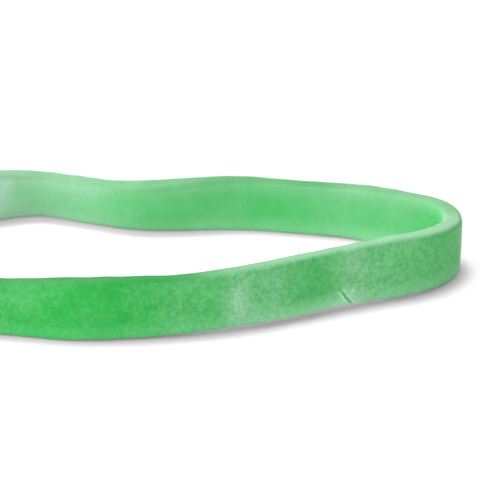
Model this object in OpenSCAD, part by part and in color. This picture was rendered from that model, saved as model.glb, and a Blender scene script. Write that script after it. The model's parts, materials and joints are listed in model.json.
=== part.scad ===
// Elastic loop band, relaxed and standing on its long edge on a flat floor.
// The band is one continuous strip. It is cut across its length into spans that slide
// apart when the loop is stretched, and sideways when its two strands are squeezed together.
// Units are millimetres. +X runs along the loop towards its tight front bend, the near
// strand is on the -Y side, +Z is up, and the origin is the bottom centre of the whole loop.

/* [Strip section] */
// Width of the strip, which is its height as it stands on edge
band_w = 13; // [10:0.5:16]
// Thickness of the strip
band_t = 4.5; // [3:0.25:5.5]
// Size of the bevel that eases each long edge
edge_bevel = 0.8; // [0.4:0.1:1.2]

/* [Loop] */
// Radius of the strip's middle line round the back bend
back_bend_r = 38.25; // [34:0.25:40]
// Distance from the origin of the plan stations back to the centre of the back bend
back_bend_x = 93.5; // [92:0.5:98]
// Gap between one span and the next
span_gap = 0.2; // [0.1:0.05:0.5]
// Rings of the sweep in each stretch between two plan stations
rings_per_stretch = 5; // [3:1:8]

/* [Hidden] */

band_green = "#4fbe68";
// The X positions where both strands are cut across, from front to back
front_cut_x = 70;
middle_cut_x = 6;
rear_cut_x = -38;
tail_cut_x = -77;

// Stations of the middle line: [x, y, lean, lift, width]. The lean is in degrees, positive
// where the strip's top edge leans towards the inside of the loop. The lift is how far the
// strip's lower edge is off the floor. The width is a share of band_w: the strip is a little
// narrower in places. The stations of a strand run towards the front on the near side and away
// from it on the far side.
back_near = [[-back_bend_x, -back_bend_r, 0, 0, 1], [tail_cut_x, -back_bend_r, 0, 0, 1]];
near_rear = [[-58, -37.5, 0, 0, 1], [rear_cut_x, -36, 0, 0, 1]];
near_middle = [[-15, -34, 0, 0, 1], [middle_cut_x, -33.5, 0, 0, 1]];
near_front = [[20, -34, -3, 0, 0.95], [34, -36, -6, 0, 0.92], [50, -39, 0, 0.25, 1],
              [front_cut_x, -37, 0, 0.5, 0.97]];
bend = [[88, -31, 5, 1, 0.93], [106, -21, 5, 0.75, 0.99], [122, -13, 2, 0.75, 1],
        [129, -6, 0, 0.25, 1], [132, 3, -2, 0, 1], [128.5, 13, 0, 0, 1],
        [112, 23.5, 2, 0, 1], [98, 27.5, 2, 0, 0.98], [84, 30.5, 3, 0, 0.97],
        [front_cut_x, 29.5, 8, 0, 0.96]];
far_front = [[58, 29.5, 14, 0, 0.92], [46, 35, 15, 0, 0.86], [34, 39.5, 15, 0, 0.88],
             [20, 34.5, 8, 0, 0.98], [middle_cut_x, 32, 2, 0, 1]];
far_middle = [[-15, 33, 0, 0, 1], [rear_cut_x, 35.5, 0, 0, 1]];
far_rear = [[-58, 37.5, 0, 0, 1], [tail_cut_x, back_bend_r, 0, 0, 1]];
back_far = [[-back_bend_x, back_bend_r, 0, 0, 1]];

stations = concat(back_near, near_rear, near_middle, near_front, bend, far_front,
                  far_middle, far_rear, back_far);

// Number of the station on each cut
near_tail_i = len(back_near) - 1;
near_rear_i = near_tail_i + len(near_rear);
near_middle_i = near_rear_i + len(near_middle);
near_front_i = near_middle_i + len(near_front);
far_front_i = near_front_i + len(bend);
far_middle_i = far_front_i + len(far_front);
far_rear_i = far_middle_i + len(far_middle);
far_tail_i = far_rear_i + len(far_rear);

// Section of the strip: u across its thickness, positive inwards, and v up its width
half_t = band_t / 2;
half_w = band_w / 2;
section = [[-half_t, -half_w + edge_bevel], [-half_t + edge_bevel, -half_w],
           [half_t - edge_bevel, -half_w], [half_t, -half_w + edge_bevel],
           [half_t, half_w - edge_bevel], [half_t - edge_bevel, half_w],
           [-half_t + edge_bevel, half_w], [-half_t, half_w - edge_bevel]];
section_n = len(section);

function lowest(points, axis) = min([for (p = points) p[axis]]);
function highest(points, axis) = max([for (p = points) p[axis]]);

// The section with its width scaled by share, turned by lean
function leaned(lean, share) = [for (p = section) let (u = p[0], v = p[1] * share)
    [u * cos(lean) + v * sin(lean), v * cos(lean) - u * sin(lean)]];
// The same section raised until its lowest corner is at height lift
function stood(lean, lift, share) =
    let (turned = leaned(lean, share), rise = lift - lowest(turned, 1))
    [for (p = turned) [p[0], p[1] + rise]];

// Catmull-Rom interpolation of the stations: place, and direction of travel, at share s
// of the stretch that starts at station i
function station(i) = stations[max(0, min(len(stations) - 1, i))];
function travel(i) = (station(i + 1) - station(i - 1)) / 2;
function place(i, s) =
    (2 * s * s * s - 3 * s * s + 1) * station(i) + (s * s * s - 2 * s * s + s) * travel(i)
    + (3 * s * s - 2 * s * s * s) * station(i + 1) + (s * s * s - s * s) * travel(i + 1);
function heading(i, s) =
    (6 * s * s - 6 * s) * (station(i) - station(i + 1))
    + (3 * s * s - 4 * s + 1) * travel(i) + (3 * s * s - 2 * s) * travel(i + 1);

// One ring of the sweep. On a cut it lies in the plane across X, so that neighbouring
// spans can slide past each other.
function ring(i, s, on_cut, shift) =
    let (c = place(i, s), h = heading(i, s), size = norm([h[0], h[1]]))
    let (side = on_cut ? [0, size / h[0]] : [-h[1], h[0]] / size)
    [for (p = stood(c[2], c[3], c[4])) [c[0] + p[0] * side[0] + shift, c[1] + p[0] * side[1], p[1]]];

// All rings of the span between stations i0 and i1, its ends held half a gap off the cuts
function span_rings(i0, i1) =
    let (first_shift = sign(travel(i0)[0]) * span_gap / 2,
         last_shift = -sign(travel(i1)[0]) * span_gap / 2)
    [for (i = [i0 : i1 - 1]) for (k = [0 : rings_per_stretch - (i == i1 - 1 ? 0 : 1)])
        let (at_first = i == i0 && k == 0, at_last = i == i1 - 1 && k == rings_per_stretch)
        ring(i, k / rings_per_stretch, at_first || at_last,
             at_first ? first_shift : at_last ? last_shift : 0)];

function flat(lists) = [for (l = lists) for (x = l) x];

// Plan centre of the whole loop, which becomes the origin
swept = flat(span_rings(near_tail_i, far_tail_i));
front_x = highest(swept, 0);
back_x = -back_bend_x - back_bend_r - half_t;
near_y = min(lowest(swept, 1), -back_bend_r - half_t);
far_y = max(highest(swept, 1), back_bend_r + half_t);
centre = [(front_x + back_x) / 2, (near_y + far_y) / 2, 0];
echo(centre = centre, length = front_x - back_x, width = far_y - near_y,
     height = highest(swept, 2));

// A closed skin over a row of rings
module skin(rings) {
    count = len(rings);
    polyhedron(
        points = flat(rings),
        faces = concat(
            [[for (j = [0 : section_n - 1]) j]],
            [[for (j = [0 : section_n - 1]) count * section_n - 1 - j]],
            [for (i = [0 : count - 2]) for (j = [0 : section_n - 1])
                let (a = i * section_n + j, b = i * section_n + (j + 1) % section_n)
                [a, a + section_n, b]],
            [for (i = [0 : count - 2]) for (j = [0 : section_n - 1])
                let (a = i * section_n + j, b = i * section_n + (j + 1) % section_n)
                [b, a + section_n, b + section_n]]));
}

module span(i0, i1) {
    translate(-centre) skin(span_rings(i0, i1));
}

// A straight leg of strip along X at one side of the back bend
module straight_leg(y, x0, x1) {
    translate([x0, y, half_w]) rotate([90, 0, 90]) linear_extrude(x1 - x0) polygon(section);
}

module front_bend() { color(band_green) span(near_front_i, far_front_i); }
module near_front_span() { color(band_green) span(near_middle_i, near_front_i); }
module far_front_span() { color(band_green) span(far_front_i, far_middle_i); }
module near_middle_span() { color(band_green) span(near_rear_i, near_middle_i); }
module far_middle_span() { color(band_green) span(far_middle_i, far_rear_i); }
module near_rear_span() { color(band_green) span(near_tail_i, near_rear_i); }
module far_rear_span() { color(band_green) span(far_rear_i, far_tail_i); }

module far_tail_span() {
    color(band_green) translate(-centre)
        straight_leg(back_bend_r, -back_bend_x + span_gap, tail_cut_x - span_gap / 2);
}

// The half-round bend, with the near strand's last straight leg
module back_bend() {
    color(band_green) translate(-centre) {
        translate([-back_bend_x, 0, half_w]) rotate(90)
            rotate_extrude(angle = 180, $fn = 96) translate([back_bend_r, 0]) polygon(section);
        straight_leg(-back_bend_r, -back_bend_x, tail_cut_x - span_gap / 2);
    }
}

front_bend();
near_front_span();
far_front_span();
near_middle_span();
far_middle_span();
near_rear_span();
far_rear_span();
far_tail_span();
back_bend();
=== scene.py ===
"""The looks of an elastic loop band standing on its long edge.

The middle line of the strip, its lean and its width are traced on the CAD spans. One rounded
strip is swept along that line with its natural unevenness, and cut into pieces at places that
move with one CAD body only.
Lengths in the design values are millimetres; everything handed to Blender is in metres.
"""

import json
from math import cos, radians, sin

import bpy
import numpy as np
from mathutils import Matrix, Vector
from mathutils.bvhtree import BVHTree


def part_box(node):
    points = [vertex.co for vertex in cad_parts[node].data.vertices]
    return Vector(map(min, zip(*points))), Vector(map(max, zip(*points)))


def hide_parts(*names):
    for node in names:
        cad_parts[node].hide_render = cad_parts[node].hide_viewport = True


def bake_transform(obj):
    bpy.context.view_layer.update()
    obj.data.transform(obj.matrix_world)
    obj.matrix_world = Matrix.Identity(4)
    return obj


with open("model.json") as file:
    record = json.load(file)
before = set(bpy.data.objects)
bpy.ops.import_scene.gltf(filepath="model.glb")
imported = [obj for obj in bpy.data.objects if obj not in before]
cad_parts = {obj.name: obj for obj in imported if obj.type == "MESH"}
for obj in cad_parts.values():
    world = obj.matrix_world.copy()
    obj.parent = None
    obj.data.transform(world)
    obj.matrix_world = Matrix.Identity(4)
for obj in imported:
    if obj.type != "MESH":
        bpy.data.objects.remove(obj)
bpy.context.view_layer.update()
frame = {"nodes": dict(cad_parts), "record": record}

MM = 0.001
SAME_PLACE = 1e-6       # distances along the strip that differ by less are the same

# ---------------------------------------------------------------- design values, mm

EDGE_R = 1.2            # rounding of the strip's long edges
RING_STEP = 0.8         # spacing of the rings along the strip
FINE_STEP = 0.15        # the same, round the nick
FACE_STEP = 0.28        # spacing of the points across a face
FINE_MARGIN = 0.9       # the fine rings start and end this far from the nick
CORNER_POINTS = 7       # points round each rounded edge

# The paler band at the top edge is a painted highlight, with some chalk
EDGE_BAND = 0.7         # depth of the paler band at the top edge
# The lighter band above the lower edge is painted light, which lifts the shade near the floor
FOOT_BAND = 5.0         # height of the lighter band above the lower edge

TRACE_STEP = 1.0        # spacing of the samples taken on the CAD spans
TRACE_HEIGHTS = (3.5, 9.5)  # of the two level lines across the strip
TRACE_REACH = 9.0       # how far from the strip its two sides are looked for
TRACE_LEAST = 50.0      # the trace can't have come round the loop before this
TRACE_CLOSED = 0.75     # it has come round when it is this near to its start
TRACE_TURN = 0.5        # share of each step's direction that the trace takes on
TRACE_BLUR = 2.0        # evens out the facets of the CAD spans
LINE_SAMPLES = 2        # samples of the middle line in a millimetre

# Where the strands change from one piece to the next, as a share of a CAD span's length
# from its back end
FRONT_SEAM_SHARE = 0.25     # of near_front_span
MIDDLE_SEAM_SHARE = 0.5     # of near_middle_span
REAR_SEAM_SHARE = 0.5       # of near_rear_span
BLEND_START_SHARE = 0.65    # of front_bend

# Unevenness of the rubber: height, seed and wavelength of each ripple
OUTER_RIPPLE = (0.07, 11, 17)
INNER_RIPPLE = (0.09, 12, 22)
FINE_RIPPLE = (0.018, 13, 3.2)
THICKNESS_RIPPLE = (0.07, 14, 45)
EDGE_RIPPLE = (0.10, 15, 24)
EDGE_FINE_RIPPLE = (0.03, 16, 7)
RIPPLE_WAVES = 14       # in each ripple
WAVE_SIZES = (0.7, 1.6) # their lengths, as shares of the wavelength
WAVE_ANGLE = 1.2        # radians to either side of the strip's length
FACES_APART = 40        # shifts the fine ripple, so that it differs from face to face
INNER_FINE_SHARE = 0.4  # how strong the fine ripple is on the inner face
EDGE_SLANT = 0.2        # how far the edges' ripples run across the thickness
EDGE_SWELL = 0.05       # the long edges stand this proud of the plain section
# The same for the powder and the top edge's paleness where they aren't seen from the front
HIDDEN_POWDER_RIPPLE = (0.1, 21, 30)
HIDDEN_EDGE_RIPPLE = (0.2, 22, 40)

# The small cut in the near strand's outer face: (x, height above the floor edge) of its ends
NICK_TOP = (104.3, 4.3)
NICK_FOOT = (107.1, 0.1)
SCRATCH_FOOT = (106.1, 1.9)
SCRATCH_TOP = (107.4, 3.5)
NICK_DEPTH = 0.12
NICK_HALF_WIDTH = 0.24
LIP_HEIGHT = 0.14
LIP_OFFSET = 0.62
LIP_HALF_WIDTH = 0.3
LIP_PALENESS = 0.8
SCRATCH_HEIGHT = 0.09
BRUISE_PALENESS = 0.35
BRUISE_HALF_WIDTH = 3 * LIP_OFFSET
DARK_HALF_WIDTH = 1.3 * NICK_HALF_WIDTH
SCRATCH_PALE_HALF_WIDTH = 1.2 * LIP_HALF_WIDTH
# The cut and its colour set in from its upper end: share of the length over which they do so,
# and how far they have come at that end
NICK_SET_IN = (0.25, 0.15)
MARK_SET_IN = (0.3, 0.2)

# Share of pale powder and painted sheen on the faces that are seen from the front, by X along a
# strand; the palest stretches, where a face turns towards the light, are painted sheen
NEAR_OUTER_POWDER_AND_SHEEN = [(30, 0.12), (38, 0.06), (44, 0.0), (56, 0.0), (64, 0.12), (71, 0.18),
                     (77, 0.13), (79, 0.16), (83, 0.38), (86, 0.32), (90, 0.36), (94, 0.22),
                     (99, 0.1), (103, 0.25), (108, 0.5), (114, 0.33), (121, 0.21), (131, 0.15)]
FAR_INNER_POWDER_AND_SHEEN = [(26, 0.9), (29, 0.62), (34, 0.52), (50, 0.48), (56, 0.25), (66, 0.16),
                    (74, 0.2), (86, 0.14), (98, 0.14), (108, 0.32), (120, 0.24), (131, 0.08)]
# Share of painted light in the band above the lower edge, by X along a strand; it lifts the shade
# that falls on the strip near the floor
NEAR_FOOT_PAINTED_LIGHT = [(44, 0.0), (78, 0.1), (88, 0.35), (97, 0.65), (105, 0.95), (112, 0.3),
                    (122, 0.25)]
FAR_FOOT_PAINTED_LIGHT = [(30, 0.5), (48, 0.45), (56, 0.12), (74, 0.3), (110, 0.25)]
# A painted sheen highlight, the palest patch on the near strand's outer face: x, height, and half
# its length and height
SHEEN_PATCH = (83.0, 5.5, 2.6, 4.5)
SHEEN_PATCH_SHARE = 0.36
# Paleness of the top edge, by X along a strand: a painted highlight where the rounded edge faces the
# light, with some chalk
NEAR_EDGE_HIGHLIGHT_AND_CHALK = [(40, 0.02), (74, 0.06), (81, 0.6), (92, 0.85), (104, 0.88), (110, 1.0),
                      (123, 1.0)]
FAR_EDGE_HIGHLIGHT_AND_CHALK = [(28, 1.0), (36, 0.75), (54, 0.75), (64, 0.62), (74, 0.45), (86, 0.35),
                     (99, 0.3), (108, 0.5), (122, 0.6)]
INNER_TOP_SHEEN = 0.2  # painted sheen added towards the top of the far strand's inner face
INNER_TOP_FROM = 0.3    # where that starts, as a share of half the width above the middle
HIDDEN_POWDER = 0.25    # average of the faces and stretches that aren't seen from the front
HIDDEN_PALENESS = 0.5   # the same for the top edge
SHOWN_FROM = 10.0       # the tables start to hold in front of this X
SHOWN_OVER = 12.0       # and hold fully after this distance more

CAMERA_ELEVATION = 20.0
CAMERA_DISTANCE = 512.5
CAMERA_AIM = (179.8, 15.3)  # ahead of the back bend's centre, and towards the far strand
CAMERA_LENS = 158.4
CAMERA_SENSOR = 36
CAMERA_CLIP = (0.01, 30)    # metres
CAMERA_FSTOP = 36.0
FOCUS_X = 100.0             # the near strand is sharpest here

FLOOR_REACH = 6.0           # metres from the origin to the floor's edges
FLOOR_GRAIN = 40.0          # scale of its noise
FLOOR_GLOW = 0.08           # keeps the shadows pale, as on a light table
WORLD_LIGHT = 0.735
WORLD_FADE = 1.12           # how much dimmer the surroundings are towards +X
WORLD_LEAST = 0.05          # and how dim they get at most
OVERHEAD_LIGHT = 1.385
OVERHEAD_ANGLE = 20         # degrees, its size as seen from the band
OVERHEAD_FROM = (-0.14, 0.18, 1.0)  # the way to the lamp

# ---------------------------------------------------------------- sizes from the frame

back_low, back_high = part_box("back_bend")
mounts = {m["name"]: m for m in frame["record"]["mounts"]}
anchor = mounts["back_bend_anchor"]
BAND_W = (back_high.z - back_low.z) / MM
BAND_T = (back_high.y - back_low.y) / 2 / MM - anchor["dims"]["r_mm"]
BEND_X, BEND_Y = (v / MM for v in anchor["pos_m"][:2])
BEND_R = anchor["dims"]["r_mm"] + BAND_T / 2
HALF_W, HALF_T = BAND_W / 2, BAND_T / 2


def along_span(node, share):
    """X at a share of a CAD span's length, counted from its back end, in millimetres."""
    low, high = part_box(node)
    return (low.x + share * (high.x - low.x)) / MM


FRONT_SEAM = along_span("near_front_span", FRONT_SEAM_SHARE)
MIDDLE_SEAM = along_span("near_middle_span", MIDDLE_SEAM_SHARE)
REAR_SEAM = along_span("near_rear_span", REAR_SEAM_SHARE)
FRONT_BLEND_START = along_span("front_bend", BLEND_START_SHARE)


def smoothstep(t):
    t = np.clip(t, 0, 1)
    return t * t * (3 - 2 * t)


# ---------------------------------------------------------------- middle line of the strip

# Columns of a row that describes the strip at one place on its middle line
X, Y, LEAN, MIDDLE, WIDTH, AHEAD_X, AHEAD_Y = range(7)


def cad_surface():
    """One search tree over all the CAD spans, in millimetres."""
    verts, faces = [], []
    for node in frame["nodes"].values():
        base = len(verts)
        verts += [v.co / MM for v in node.data.vertices]
        faces += [[base + i for i in p.vertices] for p in node.data.polygons]
    return BVHTree.FromPolygons(verts, faces)


def chord_middle(tree, place, inward, height):
    """Middle of the strip on the level line across it through place, or None in a cut."""
    across = Vector((inward[0], inward[1], 0))
    centre = Vector((place[0], place[1], height))
    hits = [tree.ray_cast(centre - across * TRACE_REACH * way, across * way, TRACE_REACH * 2)[0]
            for way in (1, -1)]
    if None in hits or (hits[1] - hits[0]).length > 2 * BAND_T:
        return None
    return np.array((hits[0] + hits[1]) / 2)[:2]


def upright_chord(tree, place):
    """Heights at which the upright line through place leaves the strip, or None in a cut."""
    up = Vector((0, 0, 1))
    inside = Vector((place[0], place[1], HALF_W))
    hits = [tree.ray_cast(inside + up * BAND_W * way, -up * way, BAND_W)[0] for way in (-1, 1)]
    return None if None in hits else (hits[0].z, hits[1].z)


def trace_strip():
    """Rows of (x, y, lean, height of the middle, width) round the loop, from the cut at the
    far end of the back bend, through the back bend, along the near strand, round the front
    and back on the far side. The width is a share of the full width of the strip."""
    tree = cad_surface()
    place, ahead = np.array([BEND_X, BEND_Y + BEND_R]), np.array([-1.0, 0.0])
    start, rows, travelled = place.copy(), [], 0.0
    while travelled < TRACE_LEAST or np.linalg.norm(place - start) > TRACE_CLOSED:
        guess = place + ahead * TRACE_STEP
        inward = np.array([-ahead[1], ahead[0]])
        low, high = (chord_middle(tree, guess, inward, z) for z in TRACE_HEIGHTS)
        travelled += TRACE_STEP
        chord = None if low is None or high is None else upright_chord(tree, (low + high) / 2)
        if chord is None:
            place = guess
            continue
        height = (chord[0] + chord[1]) / 2
        lean_tan = (high - low) @ inward / (TRACE_HEIGHTS[1] - TRACE_HEIGHTS[0])
        centre = low + inward * lean_tan * (height - TRACE_HEIGHTS[0])
        step = centre - place
        if rows:
            ahead = (1 - TRACE_TURN) * ahead + TRACE_TURN * step / np.linalg.norm(step)
            ahead /= np.linalg.norm(ahead)
        place = centre
        lean = np.arctan(lean_tan)
        rows.append((*centre, lean, height, (chord[1] - chord[0]) * cos(lean) / BAND_W))
    return np.array(rows)


def blurred(values, sigma):
    """A closed row of samples, evened out with a bell curve sigma samples wide."""
    wave = np.fft.rfftfreq(len(values))
    kept = np.exp(-2 * (np.pi * wave * sigma) ** 2)
    return np.fft.irfft(np.fft.rfft(values, axis=0) * kept[:, None], len(values), axis=0)


class MiddleLine:
    """The traced line as smooth functions of the distance s along it."""

    def __init__(self, rows):
        closed = np.vstack([rows, rows[:1]])
        gaps = np.hypot(*np.diff(closed[:, [X, Y]], axis=0).T)
        along = np.concatenate([[0], np.cumsum(gaps)])
        count = int(along[-1] * LINE_SAMPLES)
        s = np.linspace(0, along[-1], count, endpoint=False)
        even = np.column_stack([np.interp(s, along, column) for column in closed.T])
        self.rows = blurred(even, TRACE_BLUR / (along[-1] / count))
        self.s, self.length = s, along[-1]
        slope = np.roll(self.rows, -1, 0) - np.roll(self.rows, 1, 0)
        self.ahead = slope[:, [X, Y]] / np.hypot(*slope[:, [X, Y]].T)[:, None]

    def at(self, s):
        """One row, with all seven columns, at each distance in s."""
        columns = np.column_stack([self.rows, self.ahead]).T
        return np.column_stack([np.interp(s, self.s, c, period=self.length) for c in columns])

    def crossing(self, x, way):
        """Distance at which a strand that travels along way * X passes x."""
        xs = self.rows[:, X]
        ends = np.roll(xs, -1)
        i = np.flatnonzero((way * (xs - x) <= 0) & (way * (ends - x) > 0))[0]
        return self.s[i] + (x - xs[i]) / (ends[i] - xs[i]) * (self.s[1] - self.s[0])


line = MiddleLine(trace_strip())

# ---------------------------------------------------------------- section of the strip


def section_points():
    """Rows of (u, v, normal u, normal v) round the section: u is positive inwards, v up."""
    points = []
    # Each corner's side across and up, and the angle in degrees at which its rounding starts
    corners = [(1, -1, -90), (1, 1, 0), (-1, 1, 90), (-1, -1, 180)]
    for k, (side_u, side_v, first) in enumerate(corners):
        cu, cv = side_u * (HALF_T - EDGE_R), side_v * (HALF_W - EDGE_R)
        for a in np.radians(np.linspace(first, first + 90, CORNER_POINTS)):
            points.append((cu + EDGE_R * cos(a), cv + EDGE_R * sin(a), cos(a), sin(a)))
        last = np.array(points[-1])
        next_u, next_v, next_first = corners[(k + 1) % len(corners)]
        end = np.array([next_u * (HALF_T - EDGE_R) + EDGE_R * cos(radians(next_first)),
                        next_v * (HALF_W - EDGE_R) + EDGE_R * sin(radians(next_first))])
        count = int(np.hypot(*(end - last[:2])) / FACE_STEP)
        for j in range(1, count):
            u, v = last[:2] + (end - last[:2]) * j / count
            points.append((u, v, last[2], last[3]))
    return np.array(points)


SECTION = section_points()
# Its four columns, each as one row, and a row that is 1 on the outer face and 0 on the inner
U, V, NORMAL_U, NORMAL_V = SECTION.T[:, None]
OUTER = smoothstep(0.5 - U / BAND_T)

# ---------------------------------------------------------------- unevenness of the rubber


def ripple(s, v, height, seed, wavelength):
    """A smooth random surface over the strip, closed round the loop."""
    rng = np.random.default_rng(seed)
    total = np.zeros(np.broadcast(s, v).shape)
    for _ in range(RIPPLE_WAVES):
        size = wavelength * rng.uniform(*WAVE_SIZES)
        angle = rng.uniform(-WAVE_ANGLE, WAVE_ANGLE)
        turns = round(line.length / size * cos(angle))
        phase = 2 * np.pi * (turns * s / line.length + sin(angle) * v / size + rng.uniform())
        total += np.sin(phase)
    return height * (total / np.sqrt(RIPPLE_WAVES / 2))


def unevenness(s):
    """How far each point of the ring at s stands off the plain section, along its normal."""
    s = s[:, None]
    face = ripple(s, V, *OUTER_RIPPLE) * OUTER + ripple(s, V, *INNER_RIPPLE) * (1 - OUTER)
    fine_share = INNER_FINE_SHARE + (1 - INNER_FINE_SHARE) * OUTER
    fine = ripple(s, V + FACES_APART * OUTER, *FINE_RIPPLE) * fine_share
    thick = ripple(s, 0 * V, *THICKNESS_RIPPLE)
    slant = EDGE_SLANT * U
    edge = ripple(s, slant, *EDGE_RIPPLE) + ripple(s, slant, *EDGE_FINE_RIPPLE)
    return (face + fine + thick) * np.abs(NORMAL_U) + (edge + EDGE_SWELL) * np.abs(NORMAL_V)


def bell(away, half_width):
    """1 at no distance, falling off on both sides."""
    return np.exp(-((away / half_width) ** 2))


def strand_place(x, height):
    """(s, v) of a point on the near strand given by X and the height above its lower edge."""
    return np.array([line.crossing(x, 1), height - HALF_W])


def mark_distance(s, first, last):
    """Distance of every point from the mark between two ends, and the share along it."""
    a, b = strand_place(*first), strand_place(*last)
    d = b - a
    t = np.clip(((s - a[0]) * d[0] + (V - a[1]) * d[1]) / (d @ d), 0, 1)
    return np.hypot(s - a[0] - t * d[0], V - a[1] - t * d[1]), t


def set_in(t, over, begun):
    """Strength of a mark at a share of its length from its first end."""
    return smoothstep(t / over + begun)


def nick(s):
    """Depth of the small cut, its raised lips and the scratch beside it, along the normal."""
    s = s[:, None]
    away, t = mark_distance(s, NICK_TOP, NICK_FOOT)
    strength = set_in(t, *NICK_SET_IN)
    cut = -NICK_DEPTH * strength * bell(away, NICK_HALF_WIDTH)
    lips = LIP_HEIGHT * strength * bell(away - LIP_OFFSET, LIP_HALF_WIDTH)
    away, t = mark_distance(s, SCRATCH_FOOT, SCRATCH_TOP)
    scratch = SCRATCH_HEIGHT * (1 - t) * bell(away, LIP_HALF_WIDTH)
    return (cut + lips + scratch) * (U < 0)


def nick_marks(s):
    """Pale bruised rubber round the cut, and the darker floor of it, as two shares."""
    s = s[:, None]
    away, t = mark_distance(s, NICK_TOP, NICK_FOOT)
    strength = set_in(t, *MARK_SET_IN) * (U < 0)
    bruise = BRUISE_PALENESS * bell(away, BRUISE_HALF_WIDTH)
    pale = strength * (bruise + LIP_PALENESS * bell(away - LIP_OFFSET, LIP_HALF_WIDTH))
    dark = strength * bell(away, DARK_HALF_WIDTH)
    away, _ = mark_distance(s, SCRATCH_FOOT, SCRATCH_TOP)
    pale += bell(away, SCRATCH_PALE_HALF_WIDTH) * (U < 0)
    return np.clip(pale, 0, 1), dark


# ---------------------------------------------------------------- powder and painted light on the rubber


def near_share(rows):
    """1 on the near strand and 0 on the far one, turning smoothly round the bends."""
    return smoothstep(0.5 + rows[:, AHEAD_X] * 2)


def by_x(rows, table):
    """Values of a table by X at every ring."""
    return np.interp(rows[:, X], *zip(*table))


def by_strand(rows, near_table, far_table):
    """Values of two tables by X, one for each strand."""
    near = near_share(rows)
    return near * by_x(rows, near_table) + (1 - near) * by_x(rows, far_table)


def shown_or_hidden(rows, shown, hidden):
    """The shown values in front of SHOWN_FROM, and the hidden ones behind it."""
    share = smoothstep((rows[:, [X]] - SHOWN_FROM) / SHOWN_OVER)
    return share * shown + (1 - share) * hidden


def powder_and_sheen(s, rows):
    """Share of pale powder and painted sheen at every point of the rings."""
    near = near_share(rows)[:, None]
    hidden = HIDDEN_POWDER + ripple(s[:, None], V, *HIDDEN_POWDER_RIPPLE)
    near_outer = near * by_x(rows, NEAR_OUTER_POWDER_AND_SHEEN)[:, None]
    far_inner = (1 - near) * by_x(rows, FAR_INNER_POWDER_AND_SHEEN)[:, None]
    # Painted sheen towards the top of the inner face
    top = smoothstep((V / HALF_W - INNER_TOP_FROM) / (1 - INNER_TOP_FROM))
    far_inner = far_inner + INNER_TOP_SHEEN * top
    # The palest patch on the near strand's outer face is a painted sheen highlight
    x, height, half_length, half_height = SHEEN_PATCH
    sheen_patch = bell(rows[:, [X]] - x, half_length) * bell(V + HALF_W - height, half_height)
    near_outer = near_outer + near * SHEEN_PATCH_SHARE * sheen_patch
    shown = near_outer * OUTER + far_inner * (1 - OUTER)
    shown = shown + hidden * (near * (1 - OUTER) + (1 - near) * OUTER)
    return np.clip(shown_or_hidden(rows, shown, hidden), 0, 1)


def edge_highlight_and_chalk_share(s, rows):
    """Paleness of the top edge at every ring, the same across the ring: painted highlight with some
    chalk.
    """
    shown = by_strand(rows, NEAR_EDGE_HIGHLIGHT_AND_CHALK, FAR_EDGE_HIGHLIGHT_AND_CHALK)[:, None]
    hidden = HIDDEN_PALENESS + ripple(s, 0, *HIDDEN_EDGE_RIPPLE)[:, None]
    return np.clip(shown_or_hidden(rows, shown, hidden), 0, 1)


def foot_painted_light(rows):
    """Share of painted light in the band above the lower edge at every ring."""
    shown = by_strand(rows, NEAR_FOOT_PAINTED_LIGHT, FAR_FOOT_PAINTED_LIGHT)[:, None]
    return shown_or_hidden(rows, shown, HIDDEN_POWDER)


# ---------------------------------------------------------------- the strip as a grid


def ring_places(seams):
    """Distances of all rings: even steps between seams, and fine steps round the nick."""
    nick_from = line.crossing(NICK_TOP[0] - FINE_MARGIN, 1)
    nick_to = line.crossing(SCRATCH_TOP[0] + FINE_MARGIN, 1)
    stops = sorted([0, line.length, nick_from, nick_to, *seams])
    places = []
    for a, b in zip(stops, stops[1:]):
        step = FINE_STEP if a == nick_from else RING_STEP
        places += list(np.linspace(a, b, max(2, round((b - a) / step)), endpoint=False))
    return np.array(places)


def strip_grid(s):
    """Positions of every point of every ring, in millimetres, and the rings' own rows."""
    rows = line.at(s)
    stand_off = unevenness(s) + nick(s)
    u = U + NORMAL_U * stand_off
    v = V * rows[:, [WIDTH]] + NORMAL_V * stand_off
    lean = rows[:, [LEAN]]
    out = u * np.cos(lean) + v * np.sin(lean)
    up = v * np.cos(lean) - u * np.sin(lean) + rows[:, [MIDDLE]]
    ahead = rows[:, [AHEAD_X, AHEAD_Y]] / np.hypot(rows[:, AHEAD_X], rows[:, AHEAD_Y])[:, None]
    x = rows[:, [X]] - ahead[:, [1]] * out
    y = rows[:, [Y]] + ahead[:, [0]] * out
    return np.stack([x, y, np.maximum(up, 0)], axis=-1), rows


def grid_normals(grid):
    """Unit normals of a grid that is closed both ways."""
    along = np.roll(grid, -1, 0) - np.roll(grid, 1, 0)
    round_ = np.roll(grid, -1, 1) - np.roll(grid, 1, 1)
    normals = np.cross(along, round_)
    return normals / np.linalg.norm(normals, axis=-1)[..., None]


seam_s = {
    strand + place: line.crossing(x, way)
    for strand, way in (("near_", 1), ("far_", -1))
    for place, x in (("front", FRONT_SEAM), ("middle", MIDDLE_SEAM), ("rear", REAR_SEAM))
}
rings_s = ring_places(seam_s.values())
grid, line_rows = strip_grid(rings_s)
normals = grid_normals(grid)
pale_mark, dark_mark = nick_marks(rings_s)
# What the material reads at every point of the grid
LOOKS = {
    "powder_and_sheen": powder_and_sheen(rings_s, line_rows),
    "pale_mark": pale_mark,
    "dark_mark": dark_mark,
    "edge_highlight_and_chalk": edge_highlight_and_chalk_share(rings_s, line_rows),
    "foot_painted_light": foot_painted_light(line_rows),
    "edge": smoothstep((V - (HALF_W - EDGE_BAND)) / EDGE_BAND),
    "foot": smoothstep(1 - (V + HALF_W) / FOOT_BAND),
    "outer": OUTER,
}

# ---------------------------------------------------------------- materials


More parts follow.
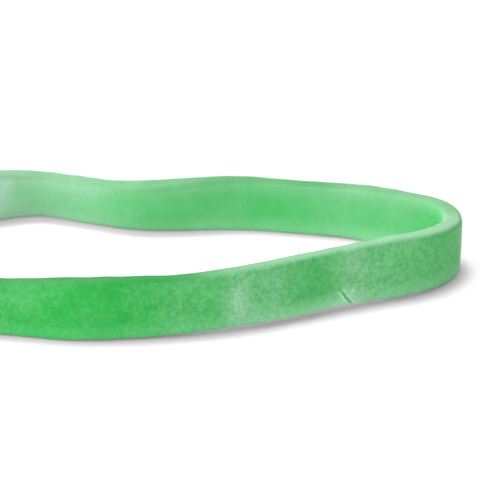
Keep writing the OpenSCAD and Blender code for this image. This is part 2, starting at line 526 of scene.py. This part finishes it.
class Nodes:
    """Short names for building the node tree of a material or of the surroundings."""

    def __init__(self, material):
        self.tree = material.node_tree
        self.tree.nodes.clear()

    def add(self, kind, inputs=None, **settings):
        node = self.tree.nodes.new(kind)
        for name, value in settings.items():
            setattr(node, name, value)
        for name, value in (inputs or {}).items():
            if isinstance(value, bpy.types.NodeSocket):
                self.tree.links.new(value, node.inputs[name])
            else:
                node.inputs[name].default_value = value
        return node

    def attribute(self, name, kind="Fac"):
        return self.add("ShaderNodeAttribute", attribute_name=name).outputs[kind]

    def math(self, operation, a, b=0.0, c=0.0, clamp=False):
        inputs = {0: a, 1: b, 2: c}
        node = self.add("ShaderNodeMath", inputs, operation=operation, use_clamp=clamp)
        return node.outputs[0]

    def times(self, a, b):
        return self.math("MULTIPLY", a, b)

    def plus(self, a, b, clamp=False):
        return self.math("ADD", a, b, clamp=clamp)

    def rising(self, value, low, rise):
        """low where the value is 0, and higher by rise where it is 1."""
        return self.math("MULTIPLY_ADD", value, rise, low)

    def swing(self, value, height):
        """A value from 0 to 1 as a swing of this height about zero."""
        return self.rising(value, -height / 2, height)

    def weighed(self, a, b, share):
        """share of a, and for the rest b."""
        return self.math("MULTIPLY_ADD", a, share, self.times(b, 1 - share))

    def noise(self, vector, scale, detail=2.0, rough=0.5):
        inputs = {"Vector": vector, "Scale": scale, "Detail": detail, "Roughness": rough}
        return self.add("ShaderNodeTexNoise", inputs).outputs["Fac"]

    def remap(self, value, low, high, to_low=0.0, to_high=1.0):
        inputs = {"Value": value, "From Min": low, "From Max": high,
                  "To Min": to_low, "To Max": to_high}
        return self.add("ShaderNodeMapRange", inputs).outputs["Result"]

    def spread_noise(self, vector, scale, detail, rough, low, high):
        """Noise in which the values low and high count as 0 and 1."""
        return self.remap(self.noise(vector, scale, detail, rough), low, high)

    def scale(self, colour, factor):
        inputs = {0: colour, "Scale": factor}
        return self.add("ShaderNodeVectorMath", inputs, operation="SCALE").outputs[0]

    def mix(self, share, a, b):
        """Two colours mixed, which the mix node takes at sockets 6 and 7 and gives at 2."""
        return self.add("ShaderNodeMix", {0: share, 6: a, 7: b}, data_type="RGBA").outputs[2]


DEEP_GREEN = (0.012, 0.46, 0.053, 1)
MID_GREEN = (0.055, 0.57, 0.11, 1)
INNER_GREEN = (0.035, 0.56, 0.10, 1)
# The next two greens paint light on the band above the lower edge; the paler one also colours the
# bruise round the cut
LIT_FOOT_GREEN = (0.085, 0.68, 0.16, 1)
FOOT_PALE_GREEN = (0.5, 1.0, 0.6, 1)
# Pale green of the powder, and of the painted sheen
PALE_GREEN = (0.46, 0.81, 0.55, 1)
# The top edge's greens: the paler one is its painted highlight, with some chalk
EDGE_DEEP_GREEN = (0.02, 0.36, 0.06, 1)
EDGE_PALE_GREEN = (0.31, 0.63, 0.37, 1)
CUT_GREEN = (0.11, 0.58, 0.18, 1)
NEUTRAL = (0.5, 0.5, 0.5, 1)
FLOOR_TONES = ((0.97, 0.97, 0.97, 1), (0.985, 0.985, 0.985, 1))

# Noise in the rubber: scale, detail, roughness, and the values that count as 0 and 1
CLOUDS = (0.11, 3.0, 0.55, 0.34, 0.68)
SPECKLE = (0.8, 1.0, 0.5, 0.36, 0.66)
GRAIN = (1.7, 1.0, 0.5, 0.36, 0.64)
SPECKLE_SHARE = 0.55        # in the colour's grain, the rest being the finer grain
SPECKLE_BUMP_SHARE = 0.6    # the same in the bump

BODY_TONE = 0.15            # share of mid green on the outer face, where the noise is 0
BODY_GRAINS = 0.3           # what the grain adds to it
BODY_CLOUDS = 0.35          # and the clouds
INNER_CLOUDS = 0.2          # the clouds' share of mid green on the inner face
FOOT_LIGHT_STRENGTH = 0.8         # how much painted light the band above the lower edge has
# The powder share that these follow also holds the painted sheen
DUST_CLOUDS = 0.12          # how much the powder swings with the clouds
DUST_GRAINS = 0.2           # and with the grain
DUST_ON_INNER = 0.25        # share of the grain's swing on the inner face
DUST_ON_BARE = 0.3          # and where there is no powder
DUSTY = 0.5                 # powder from which the grain shows in full
BRUISE_DUST = 0.3
BRUISE_TINT = 0.6
EDGE_CLOUDS = 0.2
PLAIN_RELIEF = 0.05         # how much the grain lightens and darkens the inner face
OUTER_RELIEF = (0.05, 0.13)     # what is added on the outer face, where bare and where dusty
BUMP_SIZE = 0.0002          # metres
BUMP_STRENGTH = 0.08        # on the inner face
OUTER_BUMP = 0.07           # what is added on the outer face
ROUGHNESS = (0.46, 0.72)    # bare and powdered
SPECULAR = 0.25
SHEEN = 0.04
SHEEN_ROUGHNESS = 0.5


def body_colour(n, outer, clouds, grains):
    """Green of the two faces, with the band above the lower edge painted in a lighter green, painted
    light that lifts the shade near the floor.
    """
    outer_tone = n.rising(clouds, n.rising(grains, BODY_TONE, BODY_GRAINS), BODY_CLOUDS)
    outer_green = n.mix(outer_tone, DEEP_GREEN, MID_GREEN)
    inner_green = n.mix(n.times(clouds, INNER_CLOUDS), INNER_GREEN, MID_GREEN)
    body = n.mix(outer, inner_green, outer_green)
    lit_foot_green = n.mix(n.attribute("foot_painted_light"), LIT_FOOT_GREEN, FOOT_PALE_GREEN)
    return n.mix(n.times(n.attribute("foot"), FOOT_LIGHT_STRENGTH), body, lit_foot_green)


def dust_and_sheen_share(n, outer, clouds, grains):
    """Share of powder and painted sheen, mottled most on the outer face and where there is much of
    it.
    """
    mottle = n.times(n.swing(grains, DUST_GRAINS), n.rising(outer, DUST_ON_INNER, 1 - DUST_ON_INNER))
    mottle = n.times(mottle, n.remap(n.attribute("powder_and_sheen"), 0, DUSTY, DUST_ON_BARE, 1))
    dust_and_sheen = n.plus(n.attribute("powder_and_sheen"), n.swing(clouds, DUST_CLOUDS))
    bruise = n.times(n.attribute("pale_mark"), BRUISE_DUST)
    return n.plus(n.plus(dust_and_sheen, mottle), bruise, clamp=True)


def marked_colour(n, colour, clouds):
    """The colour with the bruise, the paler top edge with its painted highlight, and the cut laid
    over it.
    """
    colour = n.mix(n.times(n.attribute("pale_mark"), BRUISE_TINT), colour, FOOT_PALE_GREEN)
    edge_tone = n.plus(n.attribute("edge_highlight_and_chalk"), n.swing(clouds, EDGE_CLOUDS))
    edge_colour = n.mix(edge_tone, EDGE_DEEP_GREEN, EDGE_PALE_GREEN)
    colour = n.mix(n.attribute("edge"), colour, edge_colour)
    return n.mix(n.attribute("dark_mark"), colour, CUT_GREEN)


def grained_colour(n, colour, outer, grains):
    """The colour, lightened and darkened by the grain."""
    relief = n.times(outer, n.remap(n.attribute("powder_and_sheen"), 0, DUSTY, *OUTER_RELIEF))
    relief = n.plus(relief, PLAIN_RELIEF)
    return n.scale(colour, n.rising(n.math("SUBTRACT", grains, 0.5), 1.0, relief))


def rubber_material():
    """Green natural rubber with a dusting of pale powder, painted sheen, a painted highlight on the
    top edge and painted light above the lower edge.
    """
    material = bpy.data.materials.new("powdered_green_rubber")
    material.use_nodes = True
    n = Nodes(material)
    rest = n.attribute("rest_mm", "Vector")
    outer = n.attribute("outer")
    clouds, speckle, grain = (n.spread_noise(rest, *kind) for kind in (CLOUDS, SPECKLE, GRAIN))
    grains = n.weighed(speckle, grain, SPECKLE_SHARE)

    dust_and_sheen = dust_and_sheen_share(n, outer, clouds, grains)
    colour = n.mix(dust_and_sheen, body_colour(n, outer, clouds, grains), PALE_GREEN)
    colour = grained_colour(n, marked_colour(n, colour, clouds), outer, grains)
    # Light that the rubber throws back on the floor is neutral, so shadows stay grey
    bounced = n.add("ShaderNodeLightPath").outputs["Is Diffuse Ray"]
    colour = n.mix(bounced, colour, NEUTRAL)

    bump = n.add("ShaderNodeBump", {"Height": n.weighed(speckle, grain, SPECKLE_BUMP_SHARE),
                                    "Strength": n.rising(outer, BUMP_STRENGTH, OUTER_BUMP),
                                    "Distance": BUMP_SIZE})
    inputs = {"Base Color": colour, "Roughness": n.remap(dust_and_sheen, 0, 1, *ROUGHNESS),
              "Normal": bump.outputs["Normal"], "Specular IOR Level": SPECULAR,
              "Sheen Weight": SHEEN, "Sheen Roughness": SHEEN_ROUGHNESS}
    shader = n.add("ShaderNodeBsdfPrincipled", inputs)
    out = n.add("ShaderNodeOutputMaterial")
    n.tree.links.new(shader.outputs[0], out.inputs["Surface"])
    return material


RUBBER = rubber_material()

# ---------------------------------------------------------------- pieces


def rings_between(s_from, s_to):
    """Numbers of the rings from one seam to the next, both included."""
    picked = np.flatnonzero((rings_s > s_from - SAME_PLACE) & (rings_s < s_to + SAME_PLACE))
    # A piece that ends where the line does closes on the first ring
    return np.append(picked, 0) if abs(s_to - line.length) < SAME_PLACE else picked


def tube_faces(rings):
    """Four-sided faces along a row of rings, and the caps at its two ends."""
    around = len(SECTION)
    i, j = np.meshgrid(np.arange(rings - 1), np.arange(around), indexing="ij")
    a = i * around + j
    b = i * around + (j + 1) % around
    quads = np.stack([a, a + around, b + around, b], axis=-1).reshape(-1, 4)
    first = list(range(around))
    last = [(rings - 1) * around + k for k in reversed(range(around))]
    return quads, [first, last]


def add_looks(mesh, picked):
    """Gives every point what the material reads, and its place at rest."""
    for look, values in LOOKS.items():
        values = np.broadcast_to(values, grid.shape[:2])[picked]
        layer = mesh.attributes.new(look, "FLOAT", "POINT")
        layer.data.foreach_set("value", values.astype(np.float32).ravel())
    layer = mesh.attributes.new("rest_mm", "FLOAT_VECTOR", "POINT")
    layer.data.foreach_set("vector", grid[picked].astype(np.float32).ravel())


def add_normals(mesh, picked, quads, caps):
    """Shades the tube with the whole strip's normals, so no seam shows, and the caps flat."""
    mesh.shade_smooth()
    mesh.update()
    tube = normals[picked].reshape(-1, 3)[quads.ravel()]
    flat = [np.tile(mesh.polygons[len(quads) + k].normal, (len(cap), 1))
            for k, cap in enumerate(caps)]
    mesh.normals_split_custom_set(np.vstack([tube, *flat]).tolist())


def strip_piece(name, s_from, s_to):
    """The closed solid between two seams, as a Blender object."""
    picked = rings_between(s_from, s_to)
    quads, caps = tube_faces(len(picked))
    mesh = bpy.data.meshes.new(name)
    mesh.from_pydata((grid[picked].reshape(-1, 3) * MM).tolist(), [], quads.tolist() + caps)
    add_looks(mesh, picked)
    add_normals(mesh, picked, quads, caps)
    mesh.materials.append(RUBBER)
    piece = bpy.data.objects.new(name, mesh)
    bpy.context.scene.collection.objects.link(piece)
    return piece


def bending_piece(name, seams, bodies, x_range, *nodes):
    """A piece between two seams that stands for CAD nodes and hides them. The two bodies are not
    used.
    """
    piece = strip_piece(name, *seams)
    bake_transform(piece)
    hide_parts(*nodes)


bending_piece("front_loop", (seam_s["near_front"], seam_s["far_front"]),
              ("front_end", "front_strands"), (FRONT_BLEND_START, FRONT_SEAM),
              "front_bend", "near_front_span", "far_front_span")
bending_piece("near_middle_strip", (seam_s["near_middle"], seam_s["near_front"]),
              ("front_strands", "near_middle"), (FRONT_SEAM, MIDDLE_SEAM), "near_middle_span")
bending_piece("far_middle_strip", (seam_s["far_front"], seam_s["far_middle"]),
              ("front_strands", "far_middle"), (FRONT_SEAM, MIDDLE_SEAM), "far_middle_span")
bending_piece("near_rear_strip", (seam_s["near_rear"], seam_s["near_middle"]),
              ("near_middle", "near_rear"), (MIDDLE_SEAM, REAR_SEAM), "near_rear_span")
bending_piece("far_rear_strip", (seam_s["far_middle"], seam_s["far_rear"]),
              ("far_middle", "far_rear"), (MIDDLE_SEAM, REAR_SEAM), "far_rear_span")
bending_piece("back_loop", (0, seam_s["near_rear"]),
              ("near_rear", "back_end"), (REAR_SEAM, BEND_X), "back_bend")
bending_piece("far_tail_strip", (seam_s["far_rear"], line.length),
              ("far_rear", "far_tail"), (REAR_SEAM, BEND_X), "far_tail_span")

# ---------------------------------------------------------------- floor, light and camera


def white_floor():
    """A plain pale floor with a barely visible grain."""
    mesh = bpy.data.meshes.new("floor")
    ways = [(-1, -1), (1, -1), (1, 1), (-1, 1)]
    mesh.from_pydata([(x * FLOOR_REACH, y * FLOOR_REACH, 0) for x, y in ways], [], [(0, 1, 2, 3)])
    floor = bpy.data.objects.new("floor", mesh)
    bpy.context.scene.collection.objects.link(floor)
    material = bpy.data.materials.new("white_floor")
    material.use_nodes = True
    n = Nodes(material)
    position = n.add("ShaderNodeNewGeometry").outputs["Position"]
    tone = n.mix(n.noise(position, FLOOR_GRAIN), *FLOOR_TONES)
    diffuse = n.add("ShaderNodeBsdfDiffuse", {"Color": tone}).outputs[0]
    glow = n.add("ShaderNodeEmission", {"Strength": FLOOR_GLOW}).outputs[0]
    shader = n.add("ShaderNodeAddShader", {0: diffuse, 1: glow})
    out = n.add("ShaderNodeOutputMaterial")
    n.tree.links.new(shader.outputs[0], out.inputs["Surface"])
    mesh.materials.append(material)


def studio_light():
    """White surroundings, brighter on the left, and one large soft lamp overhead."""
    world = bpy.data.worlds.new("studio")
    bpy.context.scene.world = world
    world.use_nodes = True
    n = Nodes(world)
    direction = n.add("ShaderNodeTexCoord").outputs["Generated"]
    sideways = n.add("ShaderNodeSeparateXYZ", {"Vector": direction}).outputs["X"]
    strength = n.math("MULTIPLY_ADD", sideways, -WORLD_LIGHT * WORLD_FADE, WORLD_LIGHT)
    strength = n.math("MAXIMUM", strength, WORLD_LEAST)
    background = n.add("ShaderNodeBackground", {"Color": (1, 1, 1, 1), "Strength": strength})
    out = n.add("ShaderNodeOutputWorld")
    n.tree.links.new(background.outputs[0], out.inputs["Surface"])
    data = bpy.data.lights.new("overhead", "SUN")
    data.energy = OVERHEAD_LIGHT
    data.angle = radians(OVERHEAD_ANGLE)
    lamp = bpy.data.objects.new("overhead", data)
    lamp.rotation_mode = "QUATERNION"
    lamp.rotation_quaternion = Vector(OVERHEAD_FROM).to_track_quat("Z", "Y")
    bpy.context.scene.collection.objects.link(lamp)


def camera():
    """Looks along +Y and down at the front bend and the strands behind it."""
    data = bpy.data.cameras.new("camera")
    data.lens = CAMERA_LENS
    data.sensor_width = CAMERA_SENSOR
    data.clip_start, data.clip_end = CAMERA_CLIP
    cam = bpy.data.objects.new("camera", data)
    tilt = radians(CAMERA_ELEVATION)
    back = Vector((0, -cos(tilt), sin(tilt)))
    aim = Vector((BEND_X + CAMERA_AIM[0], BEND_Y + CAMERA_AIM[1], 0))
    cam.location = (aim + back * CAMERA_DISTANCE) * MM
    cam.rotation_mode = "QUATERNION"
    cam.rotation_quaternion = back.to_track_quat("Z", "Y")
    focus = bpy.data.objects.new("focus", None)
    focus.location = Vector(line.at(line.crossing(FOCUS_X, 1))[0, [X, Y, MIDDLE]]) * MM
    bpy.context.scene.collection.objects.link(focus)
    data.dof.use_dof = True
    data.dof.focus_object = focus
    data.dof.aperture_fstop = CAMERA_FSTOP
    bpy.context.scene.collection.objects.link(cam)
    bpy.context.scene.camera = cam


white_floor()
studio_light()
camera()
bpy.context.scene.view_settings.view_transform = "Standard"
